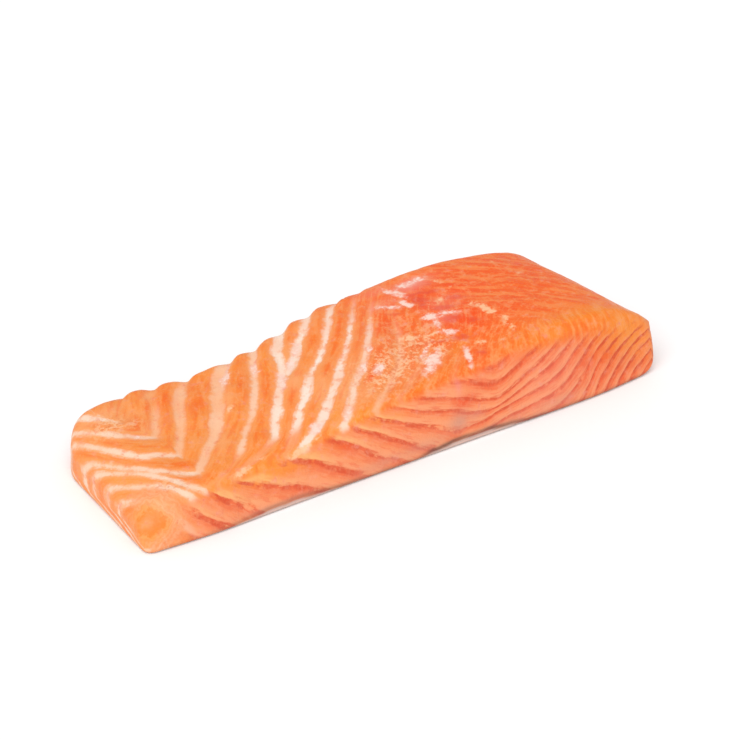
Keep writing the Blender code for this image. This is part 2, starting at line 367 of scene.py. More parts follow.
# Lumps and pits all over, and the grooves at the seams of the cut faces.
LUMP_SIZE = 17.0
LUMP_HEIGHT = 0.22
PIT_SIZE = 3.4
PIT_DEPTH = 0.05
FACE_GROOVE = 0.16
FACE_GROOVE_SHARE = 0.12
WALL_FOOT = (0.0, 0.12)
WALL_REACH = 0.1
# The step that the spacing of the seams is measured over.
PROBE = 0.05
# Where the front cut face takes over from the top: over this stretch of x its edge softens,
# starts lower and spreads wider, and it ends short of the thin end.
SOFTENING = (30.0, 60.0)
SOFT_START = 0.9
SOFT_SPREAD = 1.6
FACE_STARTS = (0.8, 2.8)
FACE_ENDS = (-79.0, -70.0)
BACK_STARTS = (0.0, 3.0)
# The thick end's cut face: how far down it starts, how steeply its seams rise to the back, and
# how far the pattern is blurred at its corners.
END_STARTS = (1.5, 6.0)
END_RISE = 0.5
CORNER_BLUR = 1.2
# Pale arms that the V's seams send down the front face: how far down and along x they reach.
ARM_BEGINS = (0.8, 2.4)
ARM_FADES = (3.0, 11.0)
ARM_FROM = (-74.0, -66.0)
ARM_TO = (-14.0, 6.0)
# Where the fat bands fade: towards the thick end, at the front ends of those nearest the
# middle, and at the back ends of the first two.
BANDS_END = (6.0, 28.0)
FRONT_FADE = (13.0, 17.5)
FRONT_FADE_SEAMS = (3.5, 6.5)
FRONT_FADE_SHARE = 0.85
BACK_FADE = (14.0, 19.0)
BACK_FADE_SEAMS = 2
BACK_FADE_SHARE = 0.8
LEFT_ENDS = (6.2, 6.8)
# The rings: how far they reach over the end and over the front, and how strong they are.
RINGS_ON_END = 6.0
RINGS_ON_FRONT = 5.0
RINGS_TURN = (-86.6, -83.0)
RINGS_FADE = (-2.0, 3.0)
RINGS_SHARE = 0.85
# Fibres: millimetres counted for each seam crossed, and the share counted along the seams.
TOP_PITCH = 6.0
FACE_PITCH = 5.0
RUN_SHARE = 0.14
# The pale edge of the skin along the foot of the front face, greyed as painted shade of the floor: how high
# it stands at these places along x, and how dark the line above it is, dark tissue and partly painted
# contact shadow. It is lower all round the other sides.
EDGE_PLACES = (
    *(-70.0, -62.0, -50.0, -40.0, -33.0, -26.0, -16.0, 0.0),
    *(5.0, 12.0, 20.0, 26.0, 32.0, 38.0, 46.0, 70.0),
)
EDGE_HEIGHTS = (0.2, 0.6, 1.5, 1.6, 1.2, 0.6, 0.2, 0.3, 1.3, 1.9, 1.9, 1.8, 1.2, 0.6, 0.3, 0.2)
LINE_DEPTHS = (0.3, 0.45, 0.5, 0.45, 0.6, 0.7, 0.6, 0.55, 0.95, 1.0, 0.75, 0.95, 0.8, 0.8, 0.6, 0.5)
BACK_EDGE_HEIGHT = 0.7
BACK_LINE_DEPTH = 0.5
EDGE_WANDER = 0.12
EDGE_SOFTNESS = (-0.2, 0.25)
FRONT_SHARE = 0.3
LINE_ABOVE = 0.45
LINE_WIDTH = 0.75
LINE_GROOVE = 0.25
# Towards the thin end the edge and its line die away.
EDGE_DIES = (78.0, 85.0)
EDGE_LOSS = 0.9
LINE_LOSS = 0.7
# The underside's skin fades between these heights.
SKIN_FROM = 0.02
SKIN_ABOVE = 0.35


def uneven(points, size, seed):
    """Smooth unevenness of about -1 to 1: plane waves in mixed directions, about size mm long."""
    draw = np.random.default_rng(seed)
    directions = draw.normal(size=(WAVES, 3))
    directions /= np.linalg.norm(directions, axis=1)[:, None]
    lengths = size * draw.uniform(0.6, 1.6, WAVES)
    starts = draw.uniform(0.0, 2 * math.pi, WAVES)
    turns = points @ (2 * math.pi * directions / lengths[:, None]).T + starts
    return np.sin(turns).sum(axis=1) / math.sqrt(2 * WAVES)


def blot(x, girth, centre, size, turn=0.0):
    """1 at a centre (x, girth), falling to 0 round it as a bell of that length and width.

    turn is the angle in degrees from x to the bell's length.
    """
    along_x = x - centre[0]
    along_y = girth - centre[1]
    c = math.cos(math.radians(turn))
    s = math.sin(math.radians(turn))
    a = (along_x * c + along_y * s) / size[0]
    b = (along_y * c - along_x * s) / size[1]
    return np.exp(-(a * a + b * b))


def blots(x, girth, rows):
    """The strongest of several bells at each place: rows of x, girth, length, width, turn, peak."""
    total = np.zeros_like(x)
    for row in rows:
        total = np.maximum(total, row[5] * blot(x, girth, row[:2], row[2:4], row[4]))
    return total


# White smears of fat and film on the top, some of them painted highlights of its wet gloss, as rows of x,
# girth, length, width, turn and peak.
WHITE_SMEARS_AND_SHEEN = (
    (25.0, 4.0, 2.8, 1.7, -20.0, 1.1),
    (29.5, 3.2, 4.0, 0.8, -28.0, 0.75),
    (24.4, 0.2, 3.6, 0.9, 80.0, 0.75),
    (25.4, -4.9, 3.2, 1.2, -30.0, 1.0),
    (22.6, 14.2, 3.4, 1.2, -80.0, 1.05),
    (22.9, 20.5, 4.6, 1.3, -62.0, 0.95),
    (28.0, 22.6, 5.6, 1.5, 0.0, 0.75),
    (17.5, 15.5, 5.5, 1.2, -32.0, 0.75),
    (23.8, -16.2, 4.6, 1.0, 68.0, 1.0),
    # These two are a painted highlight, where the middle of the top glistens.
    (13.6, -13.4, 5.8, 2.0, 38.0, 1.0),
    (14.2, -8.4, 3.2, 1.0, 35.0, 0.8),
    (-1.4, -7.9, 2.4, 1.5, 50.0, 0.9),
    (-4.0, -4.4, 3.4, 1.4, 45.0, 0.7),
    (1.9, 1.6, 2.4, 0.9, 60.0, 0.7),
    (32.8, 23.2, 2.4, 1.0, -60.0, 0.8),
    (-38.5, 16.0, 5.0, 1.7, 55.0, 0.7),
    (-29.5, 14.5, 3.0, 1.5, 60.0, 0.7),
    (-25.8, 5.4, 3.6, 1.6, 60.0, 0.8),
    (-20.0, 10.0, 3.4, 1.4, 55.0, 0.7),
    (-15.0, 15.4, 3.4, 1.6, 55.0, 0.7),
    (-29.0, -18.4, 2.8, 1.9, 40.0, 0.95),
    (-18.9, -18.6, 2.8, 1.2, 50.0, 0.85),
    (-71.6, 6.6, 3.4, 0.9, -35.0, 0.55),
)
# Pale peach flecks along the edge of the deep patch and at the tips of the bands.
PEACH_FLECKS = (
    (39.2, -1.8, 4.8, 1.4, -73.0, 1.15),
    (41.4, -8.5, 5.2, 1.1, -80.0, 0.65),
    (40.8, -14.0, 4.0, 1.6, 95.0, 0.5),
    (36.2, 18.0, 2.2, 0.9, -60.0, 0.7),
    (38.0, 13.5, 2.0, 0.8, 70.0, 0.6),
    (31.5, 9.5, 2.0, 0.9, 30.0, 0.5),
    (16.0, -1.2, 7.0, 1.3, -24.0, 0.85),
    (30.5, -14.3, 2.4, 1.0, -25.0, 0.7),
    (19.0, -10.5, 5.5, 1.6, 40.0, 0.45),
    (60.0, 7.0, 4.0, 1.6, -60.0, 0.35),
    (56.0, 18.0, 3.5, 1.6, -60.0, 0.3),
    (31.0, -13.0, 4.0, 1.0, 40.0, 0.35),
    (36.0, -17.0, 4.0, 1.2, 30.0, 0.35),
    (9.4, 13.2, 3.0, 1.0, 55.0, 0.6),
    (8.2, 19.4, 3.0, 0.8, 55.0, 0.55),
    (-53.0, -21.4, 5.5, 1.3, 14.0, 0.8),
    (-34.5, -22.6, 6.0, 1.0, 10.0, 0.9),
    (-44.5, 2.8, 2.6, 1.2, 40.0, 0.5),
    (-4.0, -13.5, 6.0, 2.0, 40.0, 0.45),
    (4.0, -12.0, 6.0, 2.4, 40.0, 0.5),
)
# Where the flesh is a deep red orange.
DEEP_PATCHES = (
    (33.0, -2.0, 9.0, 9.0, 0.0, 1.1),
    (28.0, 16.0, 5.0, 6.0, 0.0, 1.15),
    (27.0, 10.0, 5.0, 5.0, 0.0, 1.0),
    (40.0, 12.0, 12.0, 12.0, 0.0, 0.85),
    (46.0, -4.0, 12.0, 8.0, 0.0, 0.75),
    (12.0, 10.0, 9.0, 7.0, 40.0, 0.6),
    (60.0, 12.0, 20.0, 14.0, 0.0, 0.6),
    (27.0, -18.0, 4.0, 6.0, 0.0, 0.75),
    (16.0, -5.0, 9.0, 2.4, -24.0, 0.6),
    (3.0, 1.0, 5.0, 2.0, 60.0, 0.5),
    (-4.5, -9.0, 3.0, 1.6, 50.0, 0.6),
    (24.0, -27.5, 4.5, 1.6, -36.0, 0.8),
    (38.0, -26.5, 4.5, 2.2, 0.0, 0.6),
    (17.5, -29.8, 4.0, 1.9, 0.0, 0.95),
    (-23.0, -27.6, 4.5, 1.5, -36.0, 0.9),
    (60.0, -35.0, 3.0, 4.0, 60.0, 0.7),
    (67.5, -33.5, 3.4, 2.4, 45.0, 0.8),
    (71.0, -27.0, 4.0, 1.4, 60.0, 0.6),
)
# Where it is nearly crimson.
CRIMSON_PATCHES = (
    (27.4, 16.6, 4.4, 1.1, -6.0, 0.9),
    (33.4, 18.6, 2.4, 1.0, -40.0, 0.7),
    (26.2, 10.8, 2.2, 1.4, 60.0, 0.7),
    (21.0, -7.2, 4.5, 0.9, -28.0, 0.6),
    (27.4, -18.0, 2.6, 1.2, -40.0, 0.6),
    (27.1, 13.6, 3.6, 2.4, -25.0, 1.0),
    (29.1, -0.1, 3.4, 1.7, -25.0, 1.0),
    (31.2, 14.8, 2.8, 1.7, -25.0, 0.9),
    (30.2, 5.7, 4.0, 1.7, -25.0, 0.9),
    (27.2, -8.8, 3.2, 1.8, -25.0, 0.8),
    (17.0, 11.6, 3.2, 1.0, -25.0, 0.6),
    (36.0, 8.0, 3.5, 1.5, -25.0, 0.7),
    (33.5, -4.5, 3.0, 1.6, -25.0, 0.7),
)
# Where the flakes are a strong clean orange, and where they are pale and peachy; some of the pale places
# are painted highlights.
STRONG_PATCHES = (
    (-57.5, 17.5, 6.5, 2.6, 58.0, 1.0),
    (-62.5, 11.0, 9.0, 1.3, 58.0, 0.6),
    (-49.5, 12.0, 8.0, 2.6, 58.0, 0.8),
    (-45.5, 15.5, 4.0, 2.2, 58.0, 0.8),
    (-35.6, 11.0, 9.0, 2.0, 62.0, 1.0),
    (-30.4, 6.5, 8.0, 1.6, 62.0, 0.9),
    (-34.5, -3.0, 9.0, 1.5, 62.0, 0.8),
    (-28.5, -5.0, 6.0, 1.7, 60.0, 0.8),
    (-33.0, -12.0, 6.0, 2.0, 56.0, 0.9),
    (-39.0, -18.0, 6.0, 1.6, 50.0, 0.9),
    (-45.0, -13.0, 6.0, 2.0, 55.0, 0.5),
    (-69.0, -10.5, 6.0, 1.6, -28.0, 0.9),
    (-76.5, -3.2, 6.0, 1.1, -48.0, 0.9),
    (-71.5, -15.6, 6.0, 1.1, -30.0, 0.9),
    (-80.6, 2.6, 5.5, 0.8, -62.0, 0.9),
    (-84.8, 11.8, 5.5, 0.8, -70.0, 1.0),
    (-83.4, 18.0, 3.0, 1.0, -75.0, 1.0),
    (-80.5, 12.0, 6.0, 1.0, -62.0, 0.6),
    (-86.5, -12.0, 3.0, 4.0, 0.0, 0.7),
    (-87.0, 2.0, 2.0, 9.0, 0.0, 0.7),
    (-63.4, 16.6, 3.0, 1.3, 70.0, 0.9),
    (-65.5, -18.2, 7.0, 1.2, -18.0, 0.8),
    (-57.0, -19.3, 4.0, 1.0, -8.0, 0.7),
    (-69.6, 13.0, 3.2, 2.4, 60.0, 0.9),
    (-13.0, 21.0, 4.0, 2.0, 60.0, 0.9),
    (-8.5, 14.5, 5.0, 1.3, 58.0, 0.7),
    (-13.0, 0.8, 5.0, 1.3, 56.0, 0.8),
    (-4.0, 10.5, 8.0, 1.6, 58.0, 0.8),
    (-20.6, 19.8, 4.0, 1.4, 60.0, 0.6),
    (-13.0, -20.2, 4.0, 1.8, 10.0, 0.9),
    (2.8, -20.4, 4.0, 1.8, 10.0, 1.0),
    (16.0, -19.8, 7.0, 2.6, 20.0, 1.0),
)
PEACH_AND_HIGHLIGHT_PATCHES = (
    (-24.0, 1.5, 7.0, 2.4, 58.0, 0.9),
    (-18.5, -5.5, 7.0, 2.2, 58.0, 0.85),
    (-15.0, -10.8, 6.0, 2.0, 56.0, 0.85),
    (-8.5, -5.5, 8.0, 2.2, 52.0, 0.8),
    (-22.0, 9.0, 6.0, 2.6, 58.0, 0.8),
    (-15.5, 15.5, 4.0, 2.2, 58.0, 0.9),
    (-8.5, -14.0, 8.0, 2.6, 45.0, 0.7),
    (-44.0, 6.5, 6.0, 3.0, 58.0, 0.7),
    (-54.0, -8.0, 6.0, 3.0, 55.0, 0.5),
    (-73.0, 16.0, 9.0, 7.0, 0.0, 0.55),
    (-76.0, 23.0, 8.0, 3.0, 0.0, 0.9),
    (-65.0, 9.5, 7.0, 1.8, 62.0, 1.0),
    (-68.2, 9.0, 4.5, 2.4, 40.0, 0.7),
    (-60.0, 23.0, 3.5, 2.2, 50.0, 0.8),
    # A painted highlight on the rounded corner of the thin end.
    (-78.0, -17.5, 5.0, 2.6, -20.0, 0.7),
    (-72.0, -21.0, 7.0, 1.6, -10.0, 0.6),
    # These two are the painted highlight where the middle of the top glistens.
    (4.0, -9.0, 14.0, 7.0, 20.0, 0.45),
    (13.0, -2.0, 9.0, 3.0, -20.0, 0.4),
    (14.0, -25.6, 4.0, 2.0, -14.0, 0.8),
    (78.0, -30.0, 7.0, 8.0, 0.0, 0.4),
    (83.0, -22.0, 5.0, 7.0, 0.0, 0.6),
)
# Pink veils of film.
ROSE_PATCHES = (
    (29.0, 21.5, 7.0, 3.2, 0.0, 1.1),
    (31.5, 8.0, 6.0, 4.0, 0.0, 0.35),
    (27.0, 1.5, 4.0, 2.6, 0.0, 0.5),
    (18.0, 18.0, 6.0, 3.0, 0.0, 0.45),
    (18.0, 25.0, 6.0, 2.4, 0.0, 0.5),
    (15.8, -25.0, 0.9, 2.6, 0.0, 0.8),
    (46.0, -37.0, 12.0, 8.0, 35.0, 0.3),
)
# A dull grey pink film low on the front face, and painted shadow in streaks along its foot.
DULL_AND_SHADE_PATCHES = (
    (14.6, -35.0, 3.6, 2.8, 0.0, 0.9),
    (19.5, -35.0, 4.0, 1.6, -15.0, 0.5),
    # These five are painted shadow along the foot.
    (2.0, -38.0, 10.0, 2.4, 0.0, 0.5),
    (-12.0, -37.5, 10.0, 2.0, 0.0, 0.5),
    (-45.0, -34.2, 14.0, 1.0, -5.0, 0.45),
    (30.0, -42.0, 10.0, 2.0, -10.0, 0.4),
    (48.0, -43.6, 9.0, 2.0, 0.0, 0.5),
)
GOLD_PATCHES = (
    (-46.0, -25.0, 16.0, 2.6, -4.0, 0.9),
    (-60.0, -24.6, 8.0, 2.2, -4.0, 0.6),
    (-16.0, -21.5, 7.0, 2.6, 10.0, 0.95),
    (-22.0, -17.0, 4.0, 1.6, 55.0, 0.7),
    (-10.0, -25.4, 8.0, 1.4, -8.0, 0.6),
    (8.0, -19.5, 9.0, 1.8, 18.0, 0.5),
    (76.0, -26.0, 14.0, 9.0, 0.0, 0.95),
    (64.0, -20.0, 26.0, 4.5, 0.0, 0.85),
    (50.0, -24.0, 12.0, 3.0, 0.0, 0.7),
    (24.0, -12.0, 7.0, 2.6, 30.0, 0.5),
    (-84.0, -4.0, 2.0, 4.5, 15.0, 0.9),
    (-24.6, 18.8, 2.4, 1.6, 60.0, 0.5),
    (-26.5, 11.5, 2.4, 1.4, 60.0, 0.5),
)
# Where fat lies as grains instead of clean bands.
GRAINY_PATCHES = (
    (1.0, -9.0, 12.0, 8.0, 30.0, 1.0),
    (12.0, -6.0, 12.0, 7.0, -10.0, 1.0),
    (22.0, 1.0, 6.0, 5.0, 0.0, 0.5),
    (31.0, 8.0, 8.0, 8.0, 0.0, 0.35),
    (-76.0, 16.5, 5.0, 4.6, 0.0, 1.0),
    (-70.5, 14.0, 3.0, 3.0, 0.0, 0.6),
    (-77.0, -16.5, 6.0, 3.0, -20.0, 0.9),
    (12.0, 4.0, 10.0, 5.0, 30.0, 0.35),
)


def flake_width_of(x, girth, end_drop):
    """Millimetres from one seam of the top to the next, square to them.

    It is one over the steepness of the seam number, measured over a small step each way.
    """
    number = top_seam_number(x, girth, end_drop)
    along_x = top_seam_number(x + PROBE, girth, end_drop) - number
    along_girth = top_seam_number(x, girth + PROBE, end_drop) - number
    return np.clip(PROBE / np.maximum(np.hypot(along_x, along_girth), SMALLEST_SPAN), 2.0, 14.0)


def build_fillet():
    """The fillet's mesh, with its pattern as point attributes.

    A box lattice is bent to the body by body_points. Grooves in the shape of bells run along the
    seams, sums of plane waves make it uneven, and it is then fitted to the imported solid's box.
    """
    us = divisions(PLAN_LENGTH, CORNERS["thin_front"], NOSE_TOP_REACH)
    vs = divisions(PLAN_WIDTH, TOP_EDGE_RADIUS, TOP_EDGE_RADIUS)
    hs = np.linspace(0.0, 1.0, CELLS_UP + 1)
    nodes, quads = box_skin(len(us) - 1, len(vs) - 1, len(hs) - 1)
    h = hs[nodes[:, 2]]
    x, y, z, across, height, distance = body_points(us[nodes[:, 0]], vs[nodes[:, 1]], h)
    spots = np.stack([x, y, z], axis=1)
    drop = np.maximum(height - z, 0.0)
    girth = girth_of(x, y, z, across, height)
    back_edge = along(x, BACK_EDGE)

    wobble = uneven(spots, 9.0, 3)
    end_face = 1 - ramp(distance, 0.0, TOP_EDGE_RADIUS)
    on_thin_end = end_face * ramp(-x, 78.0, 83.0)
    top_number = top_seam_number(x, girth, drop * on_thin_end)
    face_number = face_seam_number(x, girth)

    # How much of the front cut face, the back one, the thick end and the skin each point is on.
    softening = ramp(x, *SOFTENING)
    below = -girth - SOFT_START * softening + RIDGE
    on_front = ramp(below / (1 + SOFT_SPREAD * softening), *FACE_STARTS) * ramp(x, *FACE_ENDS)
    from_end = PLAN_LENGTH - us[nodes[:, 0]]
    from_back = PLAN_WIDTH - vs[nodes[:, 1]]
    away_from_corner = 1 - np.exp(-((np.maximum(from_end, from_back) / CORNER_BLUR) ** 2))
    on_end_side = from_end < np.minimum(from_back, NOSE_TOP_REACH)
    on_thick_end = on_end_side * ramp(drop, *END_STARTS) * away_from_corner
    on_back = ramp(girth - back_edge, *BACK_STARTS) * away_from_corner * (1 - on_end_side)
    front_edge = along(x, FRONT_EDGE)
    end_girth = front_edge - END_RISE * (y - front_edge) - WALL_ARC * drop
    face_number = np.where(girth > 0.0, top_number, face_number)
    face_number = np.where(on_end_side, face_seam_number(x, np.minimum(end_girth, girth)), face_number)
    on_cut = np.maximum(on_front, np.maximum(on_back, on_thick_end))
    at_front = 1 - ramp(across, 0.0, FRONT_SHARE)
    edge_height = np.interp(x, EDGE_PLACES, EDGE_HEIGHTS) * at_front + BACK_EDGE_HEIGHT * (1 - at_front)
    at_thin_end = ramp(-x, *EDGE_DIES)
    edge_height = edge_height * (1 - EDGE_LOSS * at_thin_end)
    # The pale edge is greyed as painted shade of the floor; the dark line above it is dark tissue and
    # partly painted contact shadow.
    above_edge = z - edge_height - EDGE_WANDER * uneven(spots, 5.0, 21)
    skin_edge_and_shade = 1 - ramp(above_edge, *EDGE_SOFTNESS)
    line_depth = np.interp(x, EDGE_PLACES, LINE_DEPTHS) * at_front + BACK_LINE_DEPTH * (1 - at_front)
    line_depth = line_depth * (1 - LINE_LOSS * at_thin_end)
    tissue_and_shadow_line = line_depth * np.exp(-(((above_edge - LINE_ABOVE) / LINE_WIDTH) ** 2))
    depth = RIDGE - girth
    arms = ramp(depth, *ARM_BEGINS) * (1 - ramp(depth, *ARM_FADES)) * ramp(x, *ARM_FROM)
    arms = arms * (1 - ramp(x, *ARM_TO))
    skin = 1 - ramp(z, SKIN_FROM, SKIN_ABOVE)

    # Each seam's fat: half width in millimetres, whiteness and strength.
    seam = np.clip(np.rint(top_number), 0, len(FRONT_WIDTH) - 1).astype(int)
    point = along(np.clip(girth, POINT_ROWS[0], POINT_ROWS[-1]), POINT, POINT_ROWS)
    right_arm = ramp(x, point - 1.0, point + 1.0)
    half_width = np.array(FRONT_WIDTH)[seam]
    half_width = half_width + (np.array(BACK_WIDTH)[seam] - half_width) * ramp(girth, *WIDTH_PLACES)
    left_width = LEFT_WIDTH - LEFT_NARROWING * ramp(-x, *LEFT_NARROWS)
    half_width = half_width + (left_width - half_width) * (1 - right_arm)
    white = np.array(TOP_SEAM_WHITE)[seam] * right_arm + LEFT_WHITE * (1 - right_arm)
    half_width = half_width * (1 + 0.25 * wobble)
    strength = np.array(TOP_SEAM_STRENGTH)[seam] * (1 - ramp(x + 0.4 * girth, *BANDS_END))
    faded = (seam > FRONT_FADE_SEAMS[0]) & (seam < FRONT_FADE_SEAMS[1])
    strength = strength * (1 - FRONT_FADE_SHARE * ramp(-girth, *FRONT_FADE) * faded)
    strength = strength * (1 - BACK_FADE_SHARE * ramp(girth, *BACK_FADE) * (seam < BACK_FADE_SEAMS))
    strength = strength * right_arm + (1 - ramp(top_number, *LEFT_ENDS)) * (1 - right_arm)
    strength = strength * (0.88 + 0.2 * uneven(spots, 14.0, 5))
    flake_width = flake_width_of(x, girth, drop * on_thin_end)
    branch = np.abs(x - along(np.clip(girth, TOP_ROWS[0], TOP_ROWS[-1]), BRANCH, TOP_ROWS)) * BRANCH_SLANT
    branch = branch + 3.0 * (1 - ramp(girth, *BRANCH_FROM))

    # Relief, in millimetres: grooves at the seams, swells along the back edge, lumps and pits.
    swelling = ramp(x, *SWELL_FROM) * (1 - ramp(x, *SWELL_TO))
    to_seam = np.minimum(np.abs(top_number - np.rint(top_number)) * flake_width, branch)
    groove = swelling * np.exp(-((to_seam / GROOVE_WIDTH) ** 2))
    z = z - TOP_SWELL * groove * h * ramp(distance, 0.0, TOP_EDGE_RADIUS)
    y = y - BACK_SWELL * groove * h * ramp(across, BACK_SWELL_FROM, 1.0)
    on_walls = ramp(h, *WALL_FOOT)
    lump = LUMP_HEIGHT * uneven(spots, LUMP_SIZE, 11) + PIT_DEPTH * uneven(spots, PIT_SIZE, 12)
    z = z + lump * on_walls * ramp(distance, 0.0, TOP_EDGE_RADIUS)
    off_seam = 1 - np.cos(math.pi * face_number) ** 2
    cut = FACE_GROOVE * np.exp(-((off_seam / FACE_GROOVE_SHARE) ** 2))
    cut = cut + LINE_GROOVE * tissue_and_shadow_line
    y = y + (cut * on_front + lump) * on_walls * (1 - ramp(across, 0.0, WALL_REACH))
    y = y + (lump - cut * on_back) * on_walls * ramp(across, 1 - WALL_REACH, 1.0)
    x = x - cut * on_thick_end * on_walls

    points = np.stack([x, y, z], axis=1)
    low = np.array(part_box("fillet")[0])
    high = np.array(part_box("fillet")[1])
    share = (points - points.min(axis=0)) / (points.max(axis=0) - points.min(axis=0))
    points = low + (high - low) * share

    mesh = bpy.data.meshes.new("salmon_fillet")
    mesh.from_pydata(points, [], quads)
    mesh.validate()
    mesh.polygons.foreach_set("use_smooth", np.ones(len(mesh.polygons), dtype=bool))

    ring_reach = np.linalg.norm(spots - np.array(RING_CENTRE), axis=1)
    ring_limit = RINGS_ON_END + RINGS_ON_FRONT * ramp(x, *RINGS_TURN)
    on_rings = RINGS_SHARE * (1 - ramp(ring_reach - ring_limit, *RINGS_FADE))
    streaked = ramp(x + 0.5 * girth, 30.0, 46.0) * ramp(girth, -19.0, -12.0)
    # Three numbers for each attribute: seam numbers and reaches, widths and strengths in
    # millimetres and shares, and the shares of each patch. The last two are places for fibres,
    # counted mostly across the seams, so that fibres run along them.
    patterns = {
        "seams": (top_number, face_number, ring_reach),
        "fat": (half_width, white, blots(x, girth, GRAINY_PATCHES)),
        "flake": (flake_width, strength, blots(x, girth, STRONG_PATCHES)),
        "sides": (on_cut, skin_edge_and_shade, tissue_and_shadow_line),
        "skin": (skin, blots(x, girth, DULL_AND_SHADE_PATCHES), on_rings),
        "tints": (
            blots(x, girth, DEEP_PATCHES),
            blots(x, girth, GOLD_PATCHES),
            blots(x, girth, ROSE_PATCHES),
        ),
        "smears_and_sheen": (blots(x, girth, WHITE_SMEARS_AND_SHEEN), blots(x, girth, PEACH_FLECKS), streaked),
        "place": (x, girth, branch),
        "arms": (arms, blots(x, girth, PEACH_AND_HIGHLIGHT_PATCHES), blots(x, girth, CRIMSON_PATCHES)),
        "along_top": (top_number * TOP_PITCH * MM, girth * RUN_SHARE * MM, x * RUN_SHARE * MM),
        "along_face": (face_number * FACE_PITCH * MM, girth * RUN_SHARE * MM, x * RUN_SHARE * MM),
    }
    for name, columns in patterns.items():
        attribute = mesh.attributes.new(name, "FLOAT_VECTOR", "POINT")
        attribute.data.foreach_set("vector", np.stack(columns, axis=1).astype(np.float32).ravel())
    piece = bpy.data.objects.new("salmon_fillet", mesh)
    bpy.context.collection.objects.link(piece)
    return piece


# ---------------------------------------------------------------- the flesh

# The studio's light makes every colour this much lighter, so they are made darker by it.
UNDER_LIGHT = 0.92


def linear(red, green, blue):
    """A colour's linear values from its usual 0 to 255 ones, allowing for the studio's light."""
    shares = np.array([red, green, blue]) / 255
    low = shares / 12.92
    high = ((shares + 0.055) / 1.055) ** 2.4
    return (*(np.where(shares <= 0.04045, low, high) * UNDER_LIGHT).tolist(), 1.0)


# The streaks of the thick part: their turn about the upright axis and their stretch.
STREAK_TURN = 40.0
STREAK_STRETCH = (0.12, 1.0, 1.0)

# The flakes of the top.
FLAKE_LEFT = linear(250, 142, 56)
FLAKE_RIGHT = linear(250, 114, 36)
FLAKE_STRONG = linear(249, 116, 26)
# Pale peach, also used for painted highlights.
FLAKE_PEACH_AND_HIGHLIGHT = linear(252, 176, 122)
FLAKE_DEEP = linear(247, 78, 14)
FLAKE_PALE = linear(252, 170, 106)
STREAK_PALE = linear(252, 152, 84)
GOLD = linear(251, 148, 42)

# Fat, films and specks; the film and veil colours also paint highlights of wet gloss.
ARM = linear(253, 196, 126)
BROWN = linear(226, 122, 70)
FAT_PEACH = linear(253, 198, 152)
FAT_WHITE = linear(254, 234, 218)
FAT_PINK = linear(250, 182, 150)
ROSE = linear(246, 150, 138)
CRIMSON = linear(232, 74, 44)
VEIL_AND_SHEEN = linear(251, 194, 178)
FILM_AND_SHEEN = linear(254, 226, 212)

# The foot's dark line, dark tissue and partly painted contact shadow, its pale skin edge, greyed as painted
# floor shade, and the skin.
FOOT_TISSUE_AND_SHADOW = linear(84, 70, 64)
SKIN_EDGE_AND_SHADE = linear(226, 200, 190)
SKIN = linear(200, 162, 148)
# Dull grey pink, partly painted shadow along the foot.
DULL_AND_SHADE = linear(210, 150, 130)

# The cut faces, at their left and right ends.
FACE_LEFT = linear(250, 150, 96)
FACE_RIGHT = linear(246, 112, 60)
FACE_LATER_LEFT = linear(240, 106, 64)
FACE_LATER_RIGHT = linear(234, 84, 44)
FACE_PALE = linear(252, 162, 116)
FACE_DEEP = linear(238, 78, 30)
SEAM_LEFT = linear(222, 84, 46)
SEAM_RIGHT = linear(214, 74, 40)

# The rings: how far out they are coloured, and their colours on the way.
RING_REACH = 14.0
RING_STOPS = (
    (0.0, linear(252, 148, 88)),
    (0.2, linear(250, 140, 62)),
    (0.27, linear(250, 136, 52)),
    (0.34, linear(251, 166, 94)),
    (0.4, linear(249, 150, 80)),
    (0.47, linear(252, 174, 118)),
    (0.53, linear(249, 154, 94)),
    (0.6, linear(252, 174, 124)),
    (0.67, linear(248, 150, 96)),
    (0.74, linear(252, 170, 124)),
    (0.81, linear(248, 146, 94)),
    (0.9, linear(251, 162, 114)),
)


